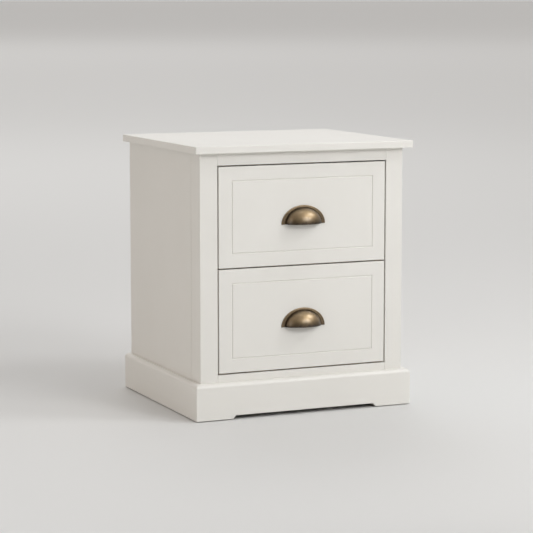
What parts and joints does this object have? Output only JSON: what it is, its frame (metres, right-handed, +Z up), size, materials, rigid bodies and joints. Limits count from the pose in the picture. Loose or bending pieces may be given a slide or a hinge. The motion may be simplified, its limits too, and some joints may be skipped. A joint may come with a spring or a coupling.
{
  "type": "nightstand with drawers",
  "caption": "Off-white painted nightstand with an overhanging top, inset grooved drawer fronts with antique brass cup pulls, and a moulded plinth on bracket feet.",
  "frame": {"origin": "on the floor, at the middle of the whole object's width and depth, the pulls included", "axes": "+Z up; -Y out of the drawer fronts; +X to the right of someone facing the drawers"},
  "size_m": [0.524, 0.465, 0.6],
  "materials": {
    "off_white_paint": "satin off-white paint on board",
    "pine": "planed, unfinished softwood",
    "birch": "sanded, clear matte lacquer",
    "hardboard": "smooth, matte, painted on both faces",
    "antique_brass": "cast, aged and lacquered",
    "zinc_plated_steel": "bright zinc plating",
    "nylon": "moulded, matte"
  },
  "bodies": {
    "cabinet": {"top_board": "off_white_paint", "front_post_left": "off_white_paint", "front_post_right": "off_white_paint", "side_panel_left": "off_white_paint", "side_panel_right": "off_white_paint", "top_rail": "off_white_paint", "bottom_rail": "off_white_paint", "plinth_front": "off_white_paint", "plinth_left": "off_white_paint", "plinth_right": "off_white_paint", "rear_post_left": "pine", "rear_post_right": "pine", "rear_top_rail": "pine", "rear_bottom_rail": "pine", "mid_rail": "pine", "slide_packer_upper_left": "pine", "slide_packer_upper_right": "pine", "slide_packer_lower_left": "pine", "slide_packer_lower_right": "pine", "bottom_board": "birch", "back_panel": "hardboard", "top_screw_front_left": "zinc_plated_steel", "top_screw_front_right": "zinc_plated_steel", "top_screw_rear_left": "zinc_plated_steel", "top_screw_rear_right": "zinc_plated_steel", "slide_outer_upper_left": "zinc_plated_steel", "slide_outer_upper_right": "zinc_plated_steel", "slide_outer_lower_left": "zinc_plated_steel", "slide_outer_lower_right": "zinc_plated_steel", "glide_front_left": "nylon", "glide_front_right": "nylon", "glide_rear_left": "nylon", "glide_rear_right": "nylon"},
    "upper_drawer": {"upper_front": "off_white_paint", "upper_box_front": "birch", "upper_box_back": "birch", "upper_box_side_left": "birch", "upper_box_side_right": "birch", "upper_box_bottom": "birch", "upper_pull": "antique_brass", "upper_pull_screw_left": "zinc_plated_steel", "upper_pull_screw_right": "zinc_plated_steel", "slide_inner_upper_left": "zinc_plated_steel", "slide_inner_upper_right": "zinc_plated_steel"},
    "upper_ball_cages": {"ball_cage_upper_left": "zinc_plated_steel", "ball_cage_upper_right": "zinc_plated_steel"},
    "lower_drawer": {"lower_front": "off_white_paint", "lower_box_front": "birch", "lower_box_back": "birch", "lower_box_side_left": "birch", "lower_box_side_right": "birch", "lower_box_bottom": "birch", "lower_pull": "antique_brass", "lower_pull_screw_left": "zinc_plated_steel", "lower_pull_screw_right": "zinc_plated_steel", "slide_inner_lower_left": "zinc_plated_steel", "slide_inner_lower_right": "zinc_plated_steel"},
    "lower_ball_cages": {"ball_cage_lower_left": "zinc_plated_steel", "ball_cage_lower_right": "zinc_plated_steel"}
  },
  "joints": [
    {"name": "upper_drawer_slide", "type": "slide", "parent": "cabinet", "child": "upper_drawer", "axis": [0, -1, 0], "range_m": [0, 0.25]},
    {"name": "upper_cage_slide", "type": "slide", "parent": "cabinet", "child": "upper_ball_cages", "axis": [0, -1, 0], "range_m": [0, 0.125]},
    {"name": "lower_drawer_slide", "type": "slide", "parent": "cabinet", "child": "lower_drawer", "axis": [0, -1, 0], "range_m": [0, 0.25]},
    {"name": "lower_cage_slide", "type": "slide", "parent": "cabinet", "child": "lower_ball_cages", "axis": [0, -1, 0], "range_m": [0, 0.125]}
  ],
  "couplings": [
    {"joint": "upper_cage_slide", "follows": "upper_drawer_slide", "ratio": 0.5},
    {"joint": "lower_cage_slide", "follows": "lower_drawer_slide", "ratio": 0.5}
  ]
}
